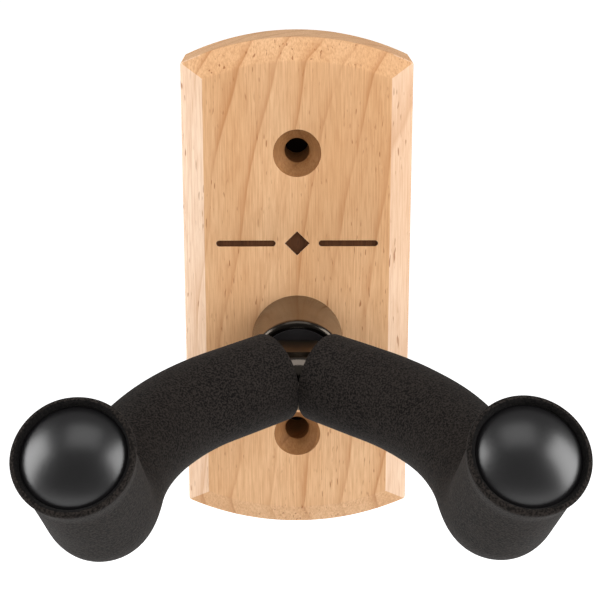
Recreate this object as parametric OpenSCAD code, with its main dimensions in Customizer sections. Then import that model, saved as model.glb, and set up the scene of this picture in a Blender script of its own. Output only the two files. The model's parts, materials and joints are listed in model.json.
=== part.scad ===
// Wall guitar hanger: a bevelled hardwood block with a padded steel yoke on a friction swivel.
// The origin lies on the wall plane, midway between the two wall screws. The front faces -Y.

/* [Block] */
// Width of the wooden block
block_w = 60; // [54:1:80]
// Height of the wooden block, over its arched ends
block_h = 135; // [125:1:180]
// Thickness of the wooden block
block_t = 20; // [19:0.5:30]
// Height of the block's middle above the middle of the screw pattern
block_rise = 1.2; // [0:0.1:5]
// Radius of the arched top and bottom
end_r = 70; // [60:1:120]
// Width of the bevel around the front face
bevel_w = 5.8; // [3:0.1:8]
// Depth of the bevel around the front face
bevel_d = 3; // [1.5:0.1:5]

/* [Wall screws] */
// Distance between the two wall screws
screw_spacing = 77.8; // [74:0.1:100]
// Diameter of the clearance hole for a wall screw
screw_hole_d = 6.6; // [4:0.1:7]
// Diameter of the recess for the screw's head
screw_head_d = 12.5; // [10:0.1:14]
// Depth of the straight rim of the head recess
head_rim = 1.3; // [0.5:0.1:3]
// Depth of the conical seat of the head recess
head_cone = 3; // [2:0.1:4]

/* [Engraving] */
// Length of the engraved line on each side of the diamond
line_len = 14; // [8:0.5:17]
// Width of the engraved lines
line_w = 1.6; // [0.8:0.1:3]
// Side of the engraved diamond
diamond_side = 4.6; // [3:0.1:7]
// Height of the engraving above the middle of the screw pattern
engraving_rise = 14.8; // [10:0.1:20]
// Depth of the engraving
engraving_depth = 0.7; // [0.3:0.1:1.5]

/* [Swivel] */
// Distance of the swivel axis below the middle of the screw pattern
swivel_drop = 11.6; // [8:0.1:14]
// Diameter of the polished collar
collar_d = 24.2; // [22:0.1:27]
// Distance that the collar stands out of the block
collar_len = 22; // [16:0.5:30]
// Rounding of the collar's front edge
collar_round = 1.6; // [0.5:0.1:1.8]
// Diameter of the collar's threaded spigot
spigot_d = 16; // [15:0.5:17]
// Diameter of the swivel shaft
shaft_d = 8; // [7:0.1:8.5]
// Diameter of the shaft's threaded end
thread_d = 6; // [5:0.1:6]
// Radial clearance between the shaft and its bushes
running_gap = 0.05; // [0.01:0.01:0.1]
// Depth of the recess in the block's back
recess_depth = 12; // [11.5:0.1:12.5]
// Diameter of the recess in the block's back
recess_d = 29; // [28:0.5:34]

/* [Yoke] */
// Diameter of the yoke's steel rod
rod_d = 10; // [8:0.1:10]
// Distance of the middle of the rod in front of the block's face
rod_forward = 30.2; // [30:0.1:34]
// Height of the middle of the rod above the swivel axis
rod_rise = 1.6; // [0:0.1:2]
// Downward slope of the plane in which the arms spread
yoke_slope = 10.5; // [0:0.5:20]
// Radius of the bend in the middle of the rod
middle_bend_r = 10; // [8:0.5:12]
// Angle through which each half of the middle bend turns forward
middle_bend = 35; // [30:1:45]
// Length of the straight stretch of each arm
arm_straight = 16; // [10:1:24]
// Radius of the wide bend of each arm
arm_bend_r = 50; // [40:1:60]
// Angle of the wide bend of each arm
arm_bend = 51; // [45:1:60]
// Radius of the upward bend near the tip
tip_bend_r = 19; // [16:1:30]
// Angle of the upward bend near the tip
tip_bend = 54; // [45:1:70]
// Length of the straight stretch at the tip
tip_straight = 25; // [20:1:40]

/* [Sleeves and caps] */
// Outer diameter of the foam sleeves
sleeve_d = 22; // [21.5:0.1:24]
// Distance that the sleeve's lip stands past the rod's end, round the end cap
sleeve_lip = 3; // [2:0.1:4]
// Extra radius of the sleeve at its flared mouth
mouth_flare = 0.8; // [0.4:0.1:1.2]
// Length over which the sleeve widens to its mouth
mouth_len = 7; // [6:0.5:12]
// Gap at the seam where the two sleeves meet
seam_gap = 0.1; // [0.1:0.1:2]
// Diameter of the domed end caps
cap_d = 20.4; // [16:0.1:21.4]
// Height of the end cap's dome
cap_dome = 4; // [2:0.1:6]
// Height of the end cap's straight rim
cap_rim = 1.6; // [1:0.1:3]
// Diameter of the end cap's stem
stem_d = 6; // [4:0.1:7]
// Length of the end cap's stem
stem_len = 12; // [8:1:16]

/* [Hidden] */
$fn = 96;

// Lengthens a cutting shape past the faces that it opens
over = 1;
// Axial play between faces that turn against each other
face_gap = 0.05;

// Middle bend, wide bend, upward bend and tip, each as straight length, bend radius, bend angle and
// the turn about the rod's own axis that comes before the bend
arm_steps = [
    [0, middle_bend_r, middle_bend, 0],
    [arm_straight, arm_bend_r, arm_bend, 0],
    [0, tip_bend_r, tip_bend, -90],
    [tip_straight, 0, 0, 0]];
first_step = 1;
tip_step = len(arm_steps) - 1;
// Straight and bent stretches stop this short of each other, and a band just wider joins them
joint_trim = 0.1;
band_len = 0.6;
band_step = 0.02;

// Swivel stack, as distances from the block's front face along the swivel axis, forward positive
recess_floor = recess_depth - block_t;
clamp_washer_t = 1.2;
ring_nut_t = 2.8;
spigot_end = recess_floor - clamp_washer_t - ring_nut_t;
flange_t = 0.8;
flange_d = 13;
bush_d = 11;
bush_len = 8;
shaft_end = spigot_end - flange_t / 2;
rear_washer_at = spigot_end - flange_t - face_gap;
rear_washer_t = 0.8;
spring_washer_h = 0.7;
spring_washer_t = 0.4;
nut_at = rear_washer_at - rear_washer_t - spring_washer_h;
nut_len = 4.9;
insert_len = 1.3;
insert_d = 8;
thread_end = nut_at - nut_len - 0.2;
thrust_washer_t = 0.8;
thrust_washer_d = 20.4;
hub_back = collar_len + thrust_washer_t + face_gap;
hub_front = rod_forward + 1.5;
hub_w = 11;
hub_h = 15;
hub_round = 1;

// Places children on the swivel axis, with +Z forward and 0 at the block's front face
module on_swivel() {
    translate([0, -block_t, -swivel_drop]) rotate([90, 0, 0]) children();
}

// A disc from one distance to another on the swivel axis
module disc(from, to, d) {
    translate([0, 0, min(from, to)]) cylinder(h = abs(to - from), d = d);
}

// A ring from one distance to another on the swivel axis
module ring(from, to, outer_d, inner_d) {
    difference() {
        disc(from, to, outer_d);
        disc(min(from, to) - over, max(from, to) + over, inner_d);
    }
}

// Everything past the arched end of the block that points up
module end_waste() {
    difference() {
        translate([-block_w, -block_t - over, 0]) cube([2 * block_w, block_t + 2 * over, block_h]);
        translate([0, 0, block_h / 2 - end_r]) rotate([90, 0, 0]) {
            translate([0, 0, -over]) cylinder(h = block_t - bevel_d + over, r = end_r);
            translate([0, 0, block_t - bevel_d])
                cylinder(h = bevel_d, r1 = end_r, r2 = end_r - bevel_w);
        }
    }
}

module screw_hole() {
    rotate([90, 0, 0]) {
        translate([0, 0, -over]) cylinder(h = block_t + 2 * over, d = screw_hole_d);
        translate([0, 0, block_t - head_rim - head_cone])
            cylinder(h = head_cone, d1 = screw_hole_d, d2 = screw_head_d);
        translate([0, 0, block_t - head_rim]) cylinder(h = head_rim + over, d = screw_head_d);
    }
}

// A plain diamond between two round-ended lines
module engraving() {
    line_from = diamond_side * 0.71 + 2 * line_w;
    translate([0, 0, engraving_rise]) rotate([90, 0, 0])
        translate([0, 0, block_t - engraving_depth]) linear_extrude(engraving_depth + over) {
            rotate(45) square(diamond_side, center = true);
            for (side = [-1, 1]) {
                translate([side * (line_from + line_len / 2), 0])
                    square([line_len, line_w], center = true);
                for (end = [line_from, line_from + line_len])
                    translate([side * end, 0]) circle(d = line_w);
            }
        }
}

module mount_block() {
    color("burlywood") difference() {
        translate([0, 0, block_rise]) difference() {
            translate([0, 0, -block_h / 2]) linear_extrude(block_h) polygon([
                [-block_w / 2, 0],
                [-block_w / 2, bevel_d - block_t],
                [bevel_w - block_w / 2, -block_t],
                [block_w / 2 - bevel_w, -block_t],
                [block_w / 2, bevel_d - block_t],
                [block_w / 2, 0]]);
            end_waste();
            mirror([0, 0, 1]) end_waste();
        }
        for (side = [-1, 1]) translate([0, 0, side * screw_spacing / 2]) screw_hole();
        engraving();
        on_swivel() {
            disc(-block_t - over, over, spigot_d);
            disc(-block_t - over, recess_floor, recess_d);
        }
    }
}

module collar() {
    color("dimgray") on_swivel() difference() {
        union() {
            rotate_extrude() {
                square([collar_d / 2, collar_len - collar_round]);
                square([collar_d / 2 - collar_round, collar_len]);
                translate([collar_d / 2 - collar_round, collar_len - collar_round]) circle(collar_round);
            }
            disc(spigot_end, over, spigot_d);
        }
        disc(spigot_end - over, collar_len + over, bush_d);
        disc(collar_len - flange_t, collar_len + over, flange_d);
    }
}

module clamp_washer() {
    color("silver") on_swivel()
        ring(recess_floor, recess_floor - clamp_washer_t, recess_d - 2, spigot_d);
}

module ring_nut() {
    nut_front = recess_floor - clamp_washer_t;
    color("gray") on_swivel() difference() {
        translate([0, 0, spigot_end]) cylinder(h = ring_nut_t, d = recess_d - 4, $fn = 6);
        disc(spigot_end - over, nut_front + over, spigot_d);
    }
}

module bush() {
    ring(0, flange_t, flange_d, shaft_d + 2 * running_gap);
    ring(-bush_len, 0, bush_d, shaft_d + 2 * running_gap);
}

module front_bush() {
    color("ivory") on_swivel() translate([0, 0, collar_len - flange_t]) bush();
}

module rear_bush() {
    color("ivory") on_swivel() translate([0, 0, spigot_end]) mirror([0, 0, 1]) bush();
}

module thrust_washer() {
    color("black") on_swivel()
        ring(collar_len, collar_len + thrust_washer_t, thrust_washer_d, shaft_d + 4 * running_gap);
}

// The lug that the yoke's rod crosses, with rounded long edges
module hub_lug() {
    lug_len = hub_front - hub_back;
    translate([0, 0, hub_back]) {
        translate([hub_round - hub_w / 2, -hub_h / 2, 0]) cube([hub_w - 2 * hub_round, hub_h, lug_len]);
        translate([-hub_w / 2, hub_round - hub_h / 2, 0]) cube([hub_w, hub_h - 2 * hub_round, lug_len]);
        for (x = [-1, 1], y = [-1, 1])
            translate([x * (hub_w / 2 - hub_round), y * (hub_h / 2 - hub_round), 0])
                cylinder(h = lug_len, r = hub_round);
    }
}

module swivel_hub() {
    color("dimgray") difference() {
        on_swivel() {
            hub_lug();
            disc(shaft_end, hub_back, shaft_d);
            disc(thread_end, shaft_end, thread_d);
        }
        arm(0) bend(middle_bend_r, 360, rod_d);
    }
}

module rear_washer() {
    color("silver") on_swivel()
        ring(rear_washer_at, rear_washer_at - rear_washer_t, 12, thread_d);
}

module spring_washer() {
    inner_r = thread_d / 2 + 0.2;
    outer_r = 5.6;
    rise = spring_washer_h - spring_washer_t;
    color("slategray") on_swivel() translate([0, 0, nut_at]) rotate_extrude() polygon([
        [inner_r, 0],
        [inner_r, spring_washer_t],
        [outer_r, spring_washer_h],
        [outer_r, rise]]);
}

module lock_nut() {
    nut_flats = 10;
    hex_len = nut_len - insert_len;
    color("silver") on_swivel() difference() {
        union() {
            translate([0, 0, nut_at - hex_len])
                cylinder(h = hex_len, d = nut_flats / cos(30), $fn = 6);
            disc(nut_at - nut_len, nut_at - hex_len + 0.5, nut_flats - 0.6);
        }
        disc(nut_at - nut_len - over, nut_at + over, thread_d);
        disc(nut_at - nut_len - over, nut_at - hex_len, insert_d);
    }
}

module nut_insert() {
    color("royalblue") on_swivel()
        ring(nut_at - nut_len, nut_at - nut_len + insert_len, insert_d, thread_d);
}

// Places children at the middle of the yoke's rod, on the right (0) or the left (1) side, with +Z
// along the rod and +X towards the inside of the first bend
module arm(side) {
    mirror([side, 0, 0]) translate([0, -block_t - rod_forward, rod_rise - swivel_drop])
        rotate([yoke_slope, 0, 0]) rotate([0, 90, 0]) rotate([0, 0, -90]) children();
}

// Places children at the start of one step of the arm
module at_step(target, i = 0) {
    if (i == target) {
        children();
    } else {
        length = arm_steps[i][0];
        bend_r = arm_steps[i][1];
        translate([0, 0, length]) rotate([0, 0, arm_steps[i][3]]) translate([bend_r, 0, 0])
            rotate([0, arm_steps[i][2], 0]) translate([-bend_r, 0, 0])
                at_step(target, i + 1) children();
    }
}

// A bent stretch of bar, which starts along +Z, bends towards +X, and stops short at both ends
module bend(r, angle, d) {
    trim = angle < 360 ? joint_trim / r * 180 / PI : 0;
    translate([r, 0, 0]) rotate([90, 0, 180]) rotate([0, 0, trim])
        rotate_extrude(angle = angle - 2 * trim) translate([r, 0]) circle(d = d);
}

module band(d) {
    translate([0, 0, -band_len / 2]) cylinder(h = band_len, d = d + 2 * band_step);
}

// A round bar along the arm from the end of the middle bend to the tip, and extra past both ends
module arm_bar(d, extra = 0) {
    at_step(first_step) translate([0, 0, -extra])
        cylinder(h = extra + arm_straight - joint_trim, d = d);
    at_step(tip_step) translate([0, 0, joint_trim])
        cylinder(h = tip_straight - joint_trim + extra, d = d);
    for (i = [first_step : tip_step - 1]) {
        at_step(i) translate([0, 0, arm_steps[i][0]]) rotate([0, 0, arm_steps[i][3]]) {
            bend(arm_steps[i][1], arm_steps[i][2], d);
            band(d);
        }
    }
    at_step(tip_step) band(d);
}

module at_tip() {
    at_step(tip_step) translate([0, 0, tip_straight]) children();
}

module yoke_rod() {
    color("dimgray") difference() {
        union() {
            arm(0) translate([middle_bend_r, 0, 0]) rotate([0, -middle_bend, 0])
                translate([-middle_bend_r, 0, 0]) bend(middle_bend_r, 2 * middle_bend, rod_d);
            for (side = [0, 1]) {
                arm(side) at_step(first_step) band(rod_d);
                arm(side) arm_bar(rod_d);
            }
        }
        for (side = [0, 1]) arm(side) at_tip()
            translate([0, 0, -stem_len]) cylinder(h = stem_len + over, d = stem_d);
    }
}

// The sleeve's flared lip stands past the rod's end, round the end cap
module foam_sleeve(side) {
    reach = 40;
    tuck = 0.2;
    difference() {
        union() {
            arm(side) arm_bar(sleeve_d);
            arm(side) at_tip() translate([0, 0, sleeve_lip - mouth_len])
                cylinder(h = mouth_len, d1 = sleeve_d - tuck, d2 = sleeve_d + 2 * mouth_flare);
        }
        arm(side) arm_bar(rod_d, over);
        arm(side) at_tip() cylinder(h = sleeve_lip + over, d = cap_d);
        mirror([side, 0, 0])
            translate([seam_gap / 2 - reach, -block_t - rod_forward - reach, -swivel_drop - reach])
                cube([reach, 2 * reach, 2 * reach]);
    }
}

module foam_sleeve_left() {
    color([0.13, 0.13, 0.13]) foam_sleeve(1);
}

module foam_sleeve_right() {
    color([0.13, 0.13, 0.13]) foam_sleeve(0);
}

module end_cap() {
    dome_r = (pow(cap_d / 2, 2) + pow(cap_dome, 2)) / (2 * cap_dome);
    cylinder(h = cap_rim, d = cap_d);
    intersection() {
        translate([0, 0, cap_rim + cap_dome - dome_r]) sphere(dome_r);
        translate([0, 0, cap_rim / 2]) cylinder(h = cap_rim + cap_dome, d = cap_d);
    }
    translate([0, 0, -stem_len]) cylinder(h = stem_len + cap_rim / 2, d = stem_d);
}

module end_cap_left() {
    color([0.25, 0.25, 0.26]) arm(1) at_tip() end_cap();
}

module end_cap_right() {
    color([0.25, 0.25, 0.26]) arm(0) at_tip() end_cap();
}

mount_block();
collar();
clamp_washer();
ring_nut();
front_bush();
rear_bush();
thrust_washer();
swivel_hub();
rear_washer();
spring_washer();
lock_nut();
nut_insert();
yoke_rod();
foam_sleeve_left();
foam_sleeve_right();
end_cap_left();
end_cap_right();
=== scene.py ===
"""Looks of a wall guitar hanger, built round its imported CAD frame. Metres, +Z up, front facing -Y."""

import json
import math

import bmesh
import bpy
from mathutils import Matrix, Vector, noise


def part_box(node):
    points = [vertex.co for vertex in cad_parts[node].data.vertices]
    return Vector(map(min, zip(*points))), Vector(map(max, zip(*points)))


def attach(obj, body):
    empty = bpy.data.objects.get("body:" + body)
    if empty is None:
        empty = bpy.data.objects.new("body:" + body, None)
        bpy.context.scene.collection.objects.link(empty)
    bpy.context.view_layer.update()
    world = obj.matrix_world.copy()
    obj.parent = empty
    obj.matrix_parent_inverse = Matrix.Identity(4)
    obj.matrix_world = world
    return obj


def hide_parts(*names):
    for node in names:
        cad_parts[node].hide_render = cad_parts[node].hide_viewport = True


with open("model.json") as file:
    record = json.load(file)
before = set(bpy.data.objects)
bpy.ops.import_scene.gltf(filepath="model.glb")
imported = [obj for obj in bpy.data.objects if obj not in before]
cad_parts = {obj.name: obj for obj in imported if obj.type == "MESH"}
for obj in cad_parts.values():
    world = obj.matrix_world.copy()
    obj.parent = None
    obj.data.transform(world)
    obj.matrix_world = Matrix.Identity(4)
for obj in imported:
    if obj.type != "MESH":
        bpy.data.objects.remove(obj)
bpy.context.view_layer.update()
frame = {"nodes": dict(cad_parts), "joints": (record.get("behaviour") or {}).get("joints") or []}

MM = 0.001

# Design values that the CAD source also has
ROD_FORWARD = 30.2 * MM
ROD_RISE = 1.6 * MM
ROD_R = 5 * MM
YOKE_SLOPE = math.radians(10.5)
SLEEVE_R = 11 * MM
CAP_R = 10.2 * MM
CAP_RIM = 1.6 * MM
CAP_DOME = 4 * MM
SLEEVE_LIP = 3 * MM
STEM_R = 3 * MM
STEM_LEN = 12 * MM
SCREW_SPACING = 77.8 * MM
SCREW_HEAD_R = 6.25 * MM
ENGRAVING_RISE = 14.8 * MM
ENGRAVING_DEPTH = 0.7 * MM
ENGRAVING_HALF_W = 22 * MM
ENGRAVING_HALF_H = 4 * MM
# Straight length, bend radius, bend angle and the turn before the bend, for each step of an arm
MIDDLE_BEND = (0.0, 10 * MM, math.radians(35), 0.0)
ARM_STEPS = (
    (16 * MM, 50 * MM, math.radians(51), 0.0),
    (0.0, 19 * MM, math.radians(54), math.radians(-90)),
    (25 * MM, 0.0, 0.0, 0.0),
)

FACE_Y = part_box("mount_block")[0].y
SWIVEL = Vector(frame["joints"][0]["pos_m"])
SIDES = {"right": 1, "left": -1}


# ---------------------------------------------------------------- meshes


def add_object(name, mesh):
    """A new object that shows a mesh, linked to the scene."""
    made = bpy.data.objects.new(name, mesh)
    bpy.context.scene.collection.objects.link(made)
    return made


def shade(mesh, sharp_angle=math.radians(40)):
    """Smooth shading, apart from edges sharper than an angle."""
    mesh.shade_smooth()
    mesh.set_sharp_from_angle(angle=sharp_angle)


def ring_mesh(name, rings, closed):
    """A mesh of quads through rings of points. Closed joins the last ring to the first one."""
    made = bmesh.new()
    rows = [[made.verts.new(point) for point in ring] for ring in rings]
    pairs = list(zip(rows, rows[1:]))
    if closed:
        pairs.append((rows[-1], rows[0]))
    for near, far in pairs:
        for k in range(len(near)):
            after = (k + 1) % len(near)
            made.faces.new((near[k], near[after], far[after], far[k]))
    if not closed:
        for row in (rows[0], rows[-1]):
            made.faces.new(row)
    bmesh.ops.recalc_face_normals(made, faces=made.faces)
    mesh = bpy.data.meshes.new(name)
    made.to_mesh(mesh)
    made.free()
    return mesh


def circle(place, radius, count):
    """Points of a circle about a frame's own Z axis."""
    turns = (2 * math.pi * k / count for k in range(count))
    return [place @ Vector((radius * math.cos(t), radius * math.sin(t), 0)) for t in turns]


def smooth_step(value):
    share = min(max(value, 0.0), 1.0)
    return share * share * (3 - 2 * share)


# ---------------------------------------------------------------- the arm's line


def bent(radius, angle):
    """A move along a bend that starts along +Z and turns towards +X."""
    out = Matrix.Translation((radius, 0, 0))
    back = Matrix.Translation((-radius, 0, 0))
    return out @ Matrix.Rotation(angle, 4, "Y") @ back


def arm_start(side):
    """The frame at the end of the middle bend, with +Z along the arm. Side is 1 or -1."""
    mirror = Matrix.Diagonal((side, 1, 1, 1))
    middle = Matrix.Translation((0, FACE_Y - ROD_FORWARD, SWIVEL.z + ROD_RISE))
    slope = Matrix.Rotation(YOKE_SLOPE, 4, "X")
    along_x = Matrix.Rotation(math.radians(90), 4, "Y") @ Matrix.Rotation(math.radians(-90), 4, "Z")
    return mirror @ middle @ slope @ along_x @ bent(MIDDLE_BEND[1], MIDDLE_BEND[2])


def arm_length():
    return sum(length + radius * angle for length, radius, angle, turn in ARM_STEPS)


def arm_frame(side, distance):
    """The frame at a distance along the arm, with +Z along it and no twist from one to the next."""
    here = arm_start(side)
    turned = 0.0
    left = distance
    for length, radius, angle, turn in ARM_STEPS:
        ahead = left if radius == 0 else min(left, length)
        here = here @ Matrix.Translation((0, 0, ahead))
        left -= ahead
        if radius == 0 or left <= 1e-9:
            break
        part = min(left / (radius * angle), 1.0)
        turned += turn
        here = here @ Matrix.Rotation(turn, 4, "Z") @ bent(radius, part * angle)
        left -= part * radius * angle
    return here @ Matrix.Rotation(-turned, 4, "Z")


# ---------------------------------------------------------------- foam sleeves

SLEEVE_AROUND = 120
SLEEVE_STEP = 1 * MM
MOUTH_FLARE = 0.8 * MM
MOUTH_LEN = 7 * MM
MOUTH_R = 10.1 * MM
MOUTH_WIDENING = 0.6 * MM
MOUTH_RINGS = 8
EDGE_ROUND = 0.9 * MM
START_ROUND = 0.7 * MM
BORE_R = ROD_R + 0.03 * MM
FOAM_WAVE = 0.16 * MM
FOAM_WAVE_SCALE = 75
SEAM_X = 0.0
SEAM_SOFTNESS = 0.05 * MM
SEAM_REACH = 20


def corner(centre_s, centre_r, radius, start, end, steps=6):
    """An arc in the plane of distance along the arm and radius."""
    turns = (start + (end - start) * k / steps for k in range(steps + 1))
    return [(centre_s + radius * math.cos(t), centre_r + radius * math.sin(t)) for t in turns]


def sleeve_section():
    """The sleeve's closed section, as (distance along the arm, radius)."""
    tip = arm_length()
    mouth = tip + SLEEVE_LIP
    quarter = math.radians(90)
    mouth_r = SLEEVE_R + MOUTH_FLARE
    points = [(0, BORE_R + (SLEEVE_R - BORE_R) * k / 5) for k in range(1, 5)]
    points += corner(START_ROUND, SLEEVE_R - START_ROUND, START_ROUND, 2 * quarter, quarter)
    count = int((mouth - EDGE_ROUND - START_ROUND) / SLEEVE_STEP)
    for k in range(1, count + 1):
        s = START_ROUND + (mouth - EDGE_ROUND - START_ROUND) * k / (count + 1)
        points.append((s, SLEEVE_R + MOUTH_FLARE * smooth_step((s - mouth + MOUTH_LEN) / MOUTH_LEN)))
    points += corner(mouth - EDGE_ROUND, mouth_r - EDGE_ROUND, EDGE_ROUND, quarter, 0)
    for k in range(1, MOUTH_RINGS):
        share = k / MOUTH_RINGS
        points.append((mouth - share * (SLEEVE_LIP - CAP_RIM), MOUTH_R + MOUTH_WIDENING * (1 - share) ** 2))
    points += [(tip - 0.05 * MM, MOUTH_R), (tip - 0.1 * MM, BORE_R)]
    back = int(tip / (2 * SLEEVE_STEP))
    points += [(tip * (1 - k / back), BORE_R) for k in range(1, back + 1)]
    return points


def foam_point(point, side, radius):
    """Gives foam its slight unevenness, and presses it flat where the two sleeves meet."""
    if radius > BORE_R + MM:
        push = noise.noise(point * FOAM_WAVE_SCALE) * FOAM_WAVE
        point = point + push * Vector((0.5, 0.5, 0.7))
    past = (point.x * side - SEAM_X) / SEAM_SOFTNESS
    if past < SEAM_REACH:
        point.x = side * (SEAM_X + SEAM_SOFTNESS * math.log1p(math.exp(past)))
    return point


def foam_sleeve(label, side):
    rings = []
    for s, r in sleeve_section():
        ring = circle(arm_frame(side, s), r, SLEEVE_AROUND)
        rings.append([foam_point(point, side, r) for point in ring])
    name = "foam_" + label
    mesh = ring_mesh(name, rings, closed=True)
    shade(mesh, math.radians(60))
    return add_object(name, mesh)


def mark_mouth(sleeve, side):
    """Gives the wall inside a sleeve's mouth the sleeve's second material, a darker foam that is painted
    shade of the recess.
    """
    tip = arm_frame(side, arm_length()).inverted()
    for face in sleeve.data.polygons:
        place = tip @ face.center
        inside = math.hypot(place.x, place.y) < MOUTH_R + MOUTH_WIDENING + 0.05 * MM
        if inside and 0 < place.z < SLEEVE_LIP:
            face.material_index = 1


# ---------------------------------------------------------------- end caps

CAP_AROUND = 128
CAP_DOME_RINGS = 28
CAP_EDGE = 0.5 * MM


def cap_section():
    """The cap's outline from the stem's end to just short of the dome's pole."""
    quarter = math.radians(90)
    dome_r = (CAP_R**2 + CAP_DOME**2) / (2 * CAP_DOME)
    half = math.asin(CAP_R / dome_r)
    centre = CAP_RIM + CAP_DOME - dome_r
    points = [(-STEM_LEN, STEM_R - 0.4 * MM), (-STEM_LEN + 0.4 * MM, STEM_R), (0, STEM_R)]
    points += [(0, CAP_R - CAP_EDGE)]
    points += corner(CAP_EDGE, CAP_R - CAP_EDGE, CAP_EDGE, 2 * quarter, quarter, 4)[1:]
    points += [(CAP_RIM - 0.3 * MM, CAP_R)]
    for k in range(CAP_DOME_RINGS):
        t = half * (1 - k / CAP_DOME_RINGS)
        points.append((centre + dome_r * math.cos(t), dome_r * math.sin(t)))
    return points


def end_cap(label, side):
    tip = arm_length()
    rings = [circle(arm_frame(side, tip + s), r, CAP_AROUND) for s, r in cap_section()]
    name = "cap_" + label
    mesh = ring_mesh(name, rings, closed=False)
    shade(mesh, math.radians(35))
    return add_object(name, mesh)


# ---------------------------------------------------------------- wooden block

BLOCK_ARRIS = 0.6 * MM
RIM_SHARE = 0.4
ENGRAVED_SHARE = 0.2
FLAT_ANGLE = math.radians(1)
ARRIS_ANGLE = math.radians(20)
BACK_MARGIN = 0.5 * MM
SWIVEL_MARGIN = 15 * MM
FACE_MARGIN = 0.05 * MM
EDGE_MARGIN = 0.01 * MM
# Least sideways and forward share of a side bevel's normal, where the bevels get painted light
BEVEL_TURN = 0.3


def in_engraving(point):
    high = abs(point.z - ENGRAVING_RISE) < ENGRAVING_HALF_H
    return high and abs(point.x) < ENGRAVING_HALF_W


def near_screw(point):
    for side in (-1, 1):
        if math.hypot(point.x, point.z - side * SCREW_SPACING / 2) < SCREW_HEAD_R + 0.2 * MM:
            return True
    return False


def arris_share(edge):
    """How much of the block's arris rounding an edge of its mesh gets."""
    middle = (edge.verts[0].co + edge.verts[1].co) / 2
    if len(edge.link_faces) != 2 or edge.calc_face_angle(0) < ARRIS_ANGLE:
        return 0.0
    if middle.y > -BACK_MARGIN or math.hypot(middle.x, middle.z - SWIVEL.z) < SWIVEL_MARGIN:
        return 0.0
    if in_engraving(middle):
        return ENGRAVED_SHARE if middle.y < FACE_Y + EDGE_MARGIN else 0.0
    if near_screw(middle):
        return RIM_SHARE if middle.y < FACE_Y + EDGE_MARGIN else 0.0
    return 1.0


def wood_part(face):
    """0 for the block's surface, 1 in the screw holes (partly painted shade), 2 in the engraving and 3 on
    the side bevels (painted light).
    """
    middle = face.calc_center_median()
    if near_screw(middle) and middle.y > FACE_Y + FACE_MARGIN:
        return 1
    if in_engraving(middle) and FACE_Y + FACE_MARGIN < middle.y < FACE_Y + 2 * ENGRAVING_DEPTH:
        return 2
    if abs(face.normal.x) > BEVEL_TURN and face.normal.y < -BEVEL_TURN and not near_screw(middle):
        return 3
    return 0


def wooden_block():
    made = bmesh.new()
    made.from_mesh(frame["nodes"]["mount_block"].data)
    bmesh.ops.remove_doubles(made, verts=made.verts, dist=0.002 * MM)
    bmesh.ops.dissolve_limit(
        made, angle_limit=FLAT_ANGLE, verts=made.verts, edges=made.edges, use_dissolve_boundaries=False
    )
    weights = made.edges.layers.float.new("bevel_weight_edge")
    for edge in made.edges:
        edge[weights] = arris_share(edge)
    mesh = bpy.data.meshes.new("wood_block")
    made.to_mesh(mesh)
    made.free()
    block = add_object("wood_block", mesh)
    rounding = block.modifiers.new("arris", "BEVEL")
    rounding.limit_method = "WEIGHT"
    rounding.width = BLOCK_ARRIS
    rounding.segments = 3
    rounding.use_clamp_overlap = True
    depsgraph = bpy.context.evaluated_depsgraph_get()
    rounded = bpy.data.meshes.new_from_object(block.evaluated_get(depsgraph))
    block.modifiers.clear()
    block.data = rounded
    for material in block_materials():
        rounded.materials.append(material)
    parts = bmesh.new()
    parts.from_mesh(rounded)
    for face in parts.faces:
        face.material_index = wood_part(face)
    parts.to_mesh(rounded)
    parts.free()
    shade(rounded, math.radians(24))
    return block


# ---------------------------------------------------------------- materials


class Nodes:
    """Adds shader nodes to a new material. Inputs are numbers, colours or other nodes' sockets."""

    def __init__(self, name):
        self.material = bpy.data.materials.new(name)
        self.material.use_nodes = True
        self.tree = self.material.node_tree
        self.shader = self.tree.nodes["Principled BSDF"]

    def add(self, kind, inputs=None, **settings):
        made = self.tree.nodes.new("ShaderNode" + kind)
        for key, value in settings.items():
            setattr(made, key, value)
        for key, value in (inputs or {}).items():
            self.put(made, key, value)
        return made

    def put(self, made, key, value):
        if isinstance(value, bpy.types.NodeSocket):
            self.tree.links.new(value, made.inputs[key])
        else:
            made.inputs[key].default_value = value

    def place(self, scale=(1, 1, 1), turn=(0, 0, 0)):
        """The piece's own coordinates, in metres, stretched."""
        own = self.add("TexCoord").outputs["Object"]
        return self.add("Mapping", {"Vector": own, "Scale": scale, "Rotation": turn}).outputs[0]

    def noise(self, vector, scale, detail=2.0, rough=0.5):
        inputs = {"Vector": vector, "Scale": scale, "Detail": detail, "Roughness": rough}
        return self.add("TexNoise", inputs).outputs["Fac"]

    def math(self, operation, a, b=0.0):
        return self.add("Math", {0: a, 1: b}, operation=operation).outputs[0]

    def spread(self, value, low, high, new_low=0.0, new_high=1.0):
        """A value from low to high as one from new_low to new_high, held at both ends."""
        inputs = {"Value": value, "From Min": low, "From Max": high, "To Min": new_low, "To Max": new_high}
        return self.add("MapRange", inputs).outputs[0]

    def blend(self, share, a, b):
        inputs = {"Factor": share, 6: a, 7: b}
        return self.add("Mix", inputs, data_type="RGBA").outputs[2]

    def bump(self, height, distance, strength=1.0):
        inputs = {"Height": height, "Distance": distance, "Strength": strength}
        return self.add("Bump", inputs).outputs[0]

    def finish(self, **inputs):
        for key, value in inputs.items():
            self.put(self.shader, key.replace("_", " "), value)
        return self.material


def colour(red, green, blue):
    """A linear colour from screen values of 0 to 255."""
    parts = [value / 255 for value in (red, green, blue)]
    linear = [p / 12.92 if p <= 0.04045 else ((p + 0.055) / 1.055) ** 2.4 for p in parts]
    return (*linear, 1.0)


RING_SPACING = 9.5 * MM
RING_LEAN = -0.17
RING_SLANT = -0.95


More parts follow.
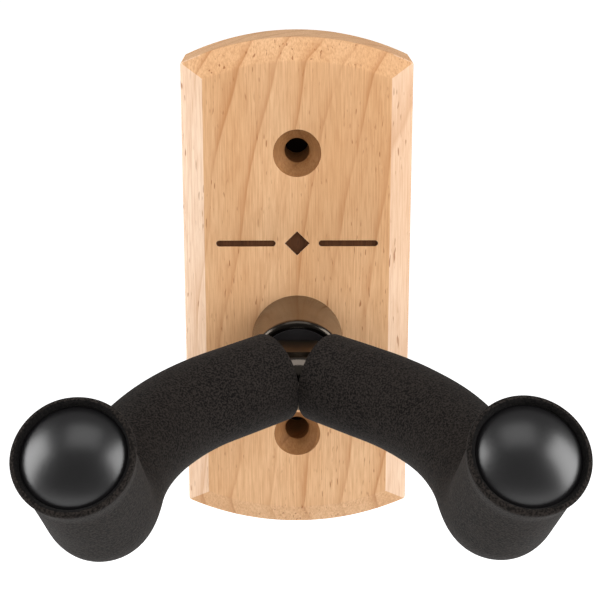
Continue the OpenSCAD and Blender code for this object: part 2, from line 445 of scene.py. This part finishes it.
def wood(name, pale, warm, line, pore, gloss):
    """Pale close-grained hardwood, with growth rings that cross the face steeply and the ends aslant."""
    n = Nodes(name)
    own = n.add("SeparateXYZ", {0: n.place()}).outputs
    sway = n.noise(n.place((1, 1, 0.35)), 32, 2.0)
    across = n.math("ADD", own[0], n.math("MULTIPLY", own[2], RING_LEAN))
    across = n.math("ADD", across, n.math("MULTIPLY", own[1], RING_SLANT))
    across = n.math("ADD", across, n.math("MULTIPLY", sway, 16 * MM))
    ring = n.math("FRACT", n.math("DIVIDE", across, RING_SPACING))
    late = n.spread(ring, 0.55, 0.96)
    early = n.spread(ring, 0.96, 1.0, 1.0, 0.0)
    strength = n.spread(n.noise(n.place((1, 1, 0.3)), 90, 1.0), 0.35, 0.65, 0.25, 1.0)
    rings = n.math("MULTIPLY", n.math("MULTIPLY", n.math("POWER", late, 3.0), early), strength)
    fibre = n.noise(n.place((1, 1, 0.04)), 2600, 3.0, 0.6)
    mottle = n.noise(n.place((1, 1, 0.2)), 520, 3.0, 0.6)
    cloud = n.noise(n.place((1, 1, 0.25)), 45, 2.0)
    tone = n.blend(n.spread(cloud, 0.3, 0.7), pale, warm)
    tone = n.blend(n.spread(fibre, 0.38, 0.68, 0.0, 0.5), tone, line)
    tone = n.blend(n.spread(mottle, 0.5, 0.75, 0.0, 0.25), tone, line)
    tone = n.blend(n.math("MULTIPLY", rings, 0.75), tone, line)
    dash = n.noise(n.place((1, 1, 0.16)), 1700, 1.0, 0.4)
    group = n.spread(n.noise(n.place((1, 1, 0.4)), 140, 1.0), 0.42, 0.58)
    pores = n.math("MULTIPLY", n.spread(dash, 0.66, 0.73), group)
    tone = n.blend(n.math("MULTIPLY", pores, 0.75), tone, pore)
    relief = n.math("SUBTRACT", fibre, n.math("MULTIPLY", pores, 1.5))
    normal = n.bump(relief, 0.03 * MM, 0.5)
    rough = n.spread(fibre, 0.3, 0.7, gloss, gloss + 0.12)
    n.put(n.shader, "Specular IOR Level", 0.25)
    return n.finish(Base_Color=tone, Roughness=rough, Normal=normal)


def block_materials():
    """Wood for the surface, the screw holes, the engraving and the side bevels. The holes' wood is darker,
    partly end grain and partly painted shade; the side bevels are painted paler, as painted light.
    """
    pale = colour(236, 193, 149)
    warm = colour(222, 172, 124)
    line = colour(186, 126, 78)
    pore = colour(150, 86, 40)
    face = wood("maple_face", pale, warm, line, pore, 0.55)
    # Darker wood in the screw holes: partly end grain, partly painted shade of the recess
    hole = wood("maple_hole_grain_and_shade", colour(178, 130, 84), colour(160, 112, 68), colour(130, 86, 50), pore, 0.6)
    burnt = wood("maple_engraved", colour(104, 66, 40), colour(84, 50, 28), colour(62, 36, 20),
                 colour(40, 22, 12), 0.7)
    # Paler wood on the side bevels: painted light, where the side lamps fall on them
    painted_shading = wood("maple_bevel_painted_light", colour(248, 220, 194), colour(233, 196, 163),
               colour(206, 158, 120), pore, 0.55)
    return face, hole, burnt, painted_shading


def foam_material(name, dark, light):
    """Charcoal closed-cell foam, with fine cells and a faint brown cast."""
    n = Nodes(name)
    own = n.place()
    cells = n.noise(own, 2600, 2.0, 0.6)
    specks = n.noise(own, 2400, 2.0, 0.55)
    broad = n.noise(own, 120, 2.0)
    tone = n.blend(n.spread(specks, 0.4, 0.6), dark, light)
    tone = n.blend(n.spread(broad, 0.3, 0.7, 0.0, 0.2), tone, light)
    pits = n.add("TexVoronoi", {"Vector": own, "Scale": 1700}).outputs["Distance"]
    height = n.math("ADD", cells, n.math("MULTIPLY", pits, 0.7))
    normal = n.bump(height, 0.12 * MM, 0.7)
    rough = n.spread(cells, 0.3, 0.7, 0.8, 0.95)
    n.put(n.shader, "Specular IOR Level", 0.1)
    n.put(n.shader, "Sheen Weight", 0.02)
    n.put(n.shader, "Sheen Roughness", 0.5)
    return n.finish(Base_Color=tone, Roughness=rough, Normal=normal)


def cap_material():
    """Satin black moulded plastic."""
    n = Nodes("cap_plastic")
    own = n.place()
    haze = n.noise(own, 60, 1.0)
    grain = n.noise(own, 3200, 2.0)
    tone = n.blend(haze, colour(18, 17, 18), colour(21, 20, 21))
    rough = n.spread(haze, 0.3, 0.7, 0.32, 0.35)
    n.put(n.shader, "IOR", 1.75)
    return n.finish(Base_Color=tone, Roughness=rough, Normal=n.bump(grain, 0.01 * MM, 0.3))


# Painted shade on the collar's front: how far back it reaches and how dark it is at the front
PAINTED_SHADE_REACH = 2.2 * MM
PAINTED_SHADE_SHARE = 0.8


def metal(name, tone, tone_b, rough, brush=(1, 1, 1), brush_scale=900, front=None):
    """Metal with fine tool marks, stretched by brush, and slight smears. It darkens towards front, as
    painted shade.
    """
    n = Nodes(name)
    marks = n.noise(n.place(brush), brush_scale, 3.0, 0.6)
    smear = n.noise(n.place(), 160, 3.0)
    mixed = n.blend(n.spread(smear, 0.3, 0.7), tone, tone_b)
    # Painted shade towards the front
    if front is not None:
        forward = n.add("SeparateXYZ", {0: n.place()}).outputs[1]
        painted_front_shade = n.spread(forward, front, front + PAINTED_SHADE_REACH, PAINTED_SHADE_SHARE, 0.0)
        mixed = n.blend(painted_front_shade, mixed, colour(34, 30, 27))
    uneven = n.math("ADD", n.spread(marks, 0.3, 0.7, rough * 0.92, rough * 1.08),
                    n.spread(smear, 0.45, 0.75, 0.0, 0.05))
    n.put(n.shader, "Metallic", 1.0)
    return n.finish(Base_Color=mixed, Roughness=uneven, Normal=n.bump(marks, 0.01 * MM, 0.08))


def plastic(name, tone, tone_b, rough):
    """Moulded plastic with a faint grain and slight clouding."""
    n = Nodes(name)
    cloud = n.noise(n.place(), 180, 2.0)
    grain = n.noise(n.place(), 2400, 2.0)
    mixed = n.blend(n.spread(cloud, 0.3, 0.7), tone, tone_b)
    uneven = n.spread(grain, 0.3, 0.7, rough - 0.05, rough + 0.06)
    return n.finish(Base_Color=mixed, Roughness=uneven, Normal=n.bump(grain, 0.02 * MM, 0.3))


def wear(node_name, material):
    """Gives a CAD node its material, in every slot that it has."""
    mesh = frame["nodes"][node_name].data
    if not mesh.materials:
        mesh.materials.append(material)
    for index in range(len(mesh.materials)):
        mesh.materials[index] = material


def dress_metalwork():
    nickel = metal("dark_nickel", colour(110, 102, 94), colour(98, 90, 83), 0.14, (0.4, 0.4, 1))
    worn = metal("dark_nickel_satin", colour(112, 98, 82), colour(100, 86, 72), 0.32, (0.4, 0.4, 1))
    steel = metal("zinc_steel", colour(196, 198, 202), colour(178, 180, 176), 0.3)
    spring = metal("spring_steel", colour(96, 98, 108), colour(82, 80, 86), 0.35)
    nylon = plastic("white_nylon", colour(226, 222, 208), colour(214, 208, 192), 0.45)
    blue = plastic("blue_nylon", colour(40, 84, 168), colour(34, 72, 148), 0.4)
    acetal = plastic("black_acetal", colour(22, 21, 22), colour(30, 28, 29), 0.38)
    wear("yoke_rod", nickel)
    grey = colour(112, 104, 95)
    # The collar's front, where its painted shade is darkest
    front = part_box("collar")[0].y
    brushed = metal("dark_nickel_brushed", grey, colour(102, 94, 86), 0.2, (0.2, 0.2, 1), 2600, front)
    wear("collar", brushed)
    wear("swivel_hub", worn)
    for name in ("clamp_washer", "ring_nut", "rear_washer", "lock_nut"):
        wear(name, steel)
    wear("spring_washer", spring)
    for name in ("front_bush", "rear_bush"):
        wear(name, nylon)
    wear("nut_insert", blue)
    wear("thrust_washer", acetal)


# ---------------------------------------------------------------- pieces in place


def place_block():
    block = wooden_block()
    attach(block, "block")
    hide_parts("mount_block")


def place_arms():
    foam = foam_material("foam", colour(8, 7, 6), colour(46, 41, 38))
    # Darker foam for the wall inside each mouth: painted shade of the recess
    painted_shading = foam_material("foam_painted_shade", colour(12, 11, 11), colour(24, 22, 21))
    satin = cap_material()
    for label, side in SIDES.items():
        sleeve = foam_sleeve(label, side)
        sleeve.data.materials.append(foam)
        sleeve.data.materials.append(painted_shading)
        mark_mouth(sleeve, side)
        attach(sleeve, "yoke")
        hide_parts("foam_sleeve_" + label)
        cap = end_cap(label, side)
        cap.data.materials.append(satin)
        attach(cap, "yoke")
        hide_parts("end_cap_" + label)


# ---------------------------------------------------------------- studio

FLOOR_Z = -0.6
FLOOR_HALF = 6.0
# Discs of painted shade at the back ends of the screw holes
HOLE_R = 3.3 * MM
HOLE_BACK_Y = -2 * MM
HOLE_AROUND = 48
FLOOR_GLOW = 0.06
CAMERA_WHITE = 1.05
ROOM_GREY = 0.15
LIGHTS_AIM = Vector((0, -0.04, 0))
# Name, place, size, radiance and whether the light shows in reflections
LIGHTS = (
    ("left_box", (-0.76, -0.12, 0.26), (0.55, 0.75), 4.8, True),
    ("right_box", (0.71, -0.26, 0.28), (0.55, 0.75), 4.6, True),
    ("top_box", (0.0, -0.17, 0.78), (0.6, 0.5), 1.2, True),
    ("back_sheet", (0.0, 1.4, 0.45), (2.0, 1.0), 0.35, True),
    ("front_fill", (0.0, -1.3, 0.25), (1.4, 0.9), 2.1, False),
)
CAMERA_AT = Vector((-0.0025, -0.3717, 0.1093))
CAMERA_YAW = math.radians(0.53)
CAMERA_PITCH = math.radians(14.40)
CAMERA_LENS = 83.1
CAMERA_SHIFT_Y = -0.12


def pale_floor():
    """White to the camera and in reflections, and nearly unlit for everything else."""
    corners = [(-1, -1), (1, -1), (1, 1), (-1, 1)]
    mesh = bpy.data.meshes.new("floor")
    points = [(x * FLOOR_HALF, y * FLOOR_HALF, FLOOR_Z) for x, y in corners]
    mesh.from_pydata(points, [], [(0, 1, 2, 3)])
    n = Nodes("pale_floor")
    cloud = n.noise(n.place(), 3, 2.0)
    tone = n.blend(cloud, colour(250, 250, 250), colour(246, 246, 246))
    n.put(n.shader, "Emission Color", (1, 1, 1, 1))
    path = n.add("LightPath").outputs
    seen = n.math("MAXIMUM", path["Is Camera Ray"], path["Is Glossy Ray"])
    n.put(n.shader, "Emission Strength", n.spread(seen, 0.0, 1.0, FLOOR_GLOW, 1.0))
    mesh.materials.append(n.finish(Base_Color=tone, Roughness=0.9))
    add_object("floor", mesh)


def painted_hole_shade():
    """Dark discs inside the back ends of the screw holes: painted shade, in the place of an unlit wall."""
    for label, side in (("low", -1), ("high", 1)):
        move = Matrix.Translation((0, HOLE_BACK_Y, side * SCREW_SPACING / 2))
        place = move @ Matrix.Rotation(math.radians(90), 4, "X")
        made = bmesh.new()
        made.faces.new([made.verts.new(point) for point in circle(place, HOLE_R, HOLE_AROUND)])
        mesh = bpy.data.meshes.new("hole_back_" + label)
        made.to_mesh(mesh)
        made.free()
        n = Nodes("unlit_wall_" + label)
        tone = n.blend(n.noise(n.place(), 400), colour(14, 7, 4), colour(20, 11, 7))
        mesh.materials.append(n.finish(Base_Color=tone, Roughness=0.95))
        add_object("hole_back_" + label, mesh)


def soft_box(name, where, size, radiance, glossy):
    """A rectangular area light aimed at the hanger, as bright as radiance at any distance."""
    data = bpy.data.lights.new(name, "AREA")
    data.shape = "RECTANGLE"
    data.size, data.size_y = size
    data.energy = radiance * math.pi * size[0] * size[1]
    light = bpy.data.objects.new(name, data)
    light.location = where
    light.rotation_euler = (LIGHTS_AIM - Vector(where)).to_track_quat("-Z", "Y").to_euler()
    light.visible_camera = False
    light.visible_glossy = glossy
    bpy.context.scene.collection.objects.link(light)


def studio_light():
    for name, where, size, radiance, glossy in LIGHTS:
        soft_box(name, where, size, radiance, glossy)


def surroundings():
    """White to the camera, and a dim grey room for light and reflections."""
    world = bpy.data.worlds.new("studio")
    world.use_nodes = True
    tree = world.node_tree
    seen = tree.nodes.new("ShaderNodeBackground")
    seen.inputs["Strength"].default_value = CAMERA_WHITE
    seen.inputs["Color"].default_value = (1, 1, 1, 1)
    room = tree.nodes["Background"]
    room.inputs["Color"].default_value = (1, 1, 1, 1)
    room.inputs["Strength"].default_value = ROOM_GREY
    choose = tree.nodes.new("ShaderNodeMixShader")
    path = tree.nodes.new("ShaderNodeLightPath")
    tree.links.new(path.outputs["Is Camera Ray"], choose.inputs[0])
    tree.links.new(room.outputs[0], choose.inputs[1])
    tree.links.new(seen.outputs[0], choose.inputs[2])
    tree.links.new(choose.outputs[0], tree.nodes["World Output"].inputs["Surface"])
    bpy.context.scene.world = world


def camera():
    data = bpy.data.cameras.new("camera")
    data.sensor_width = 36
    data.lens = CAMERA_LENS
    data.shift_y = CAMERA_SHIFT_Y
    data.clip_start = 0.01
    seen_from = bpy.data.objects.new("camera", data)
    seen_from.location = CAMERA_AT
    level = math.cos(CAMERA_PITCH)
    forward = Vector((math.sin(CAMERA_YAW) * level, math.cos(CAMERA_YAW) * level, -math.sin(CAMERA_PITCH)))
    seen_from.rotation_euler = forward.to_track_quat("-Z", "Y").to_euler()
    bpy.context.scene.collection.objects.link(seen_from)
    bpy.context.scene.camera = seen_from


place_block()
place_arms()
dress_metalwork()
pale_floor()
painted_hole_shade()
studio_light()
surroundings()
camera()
bpy.context.scene.view_settings.view_transform = "Standard"
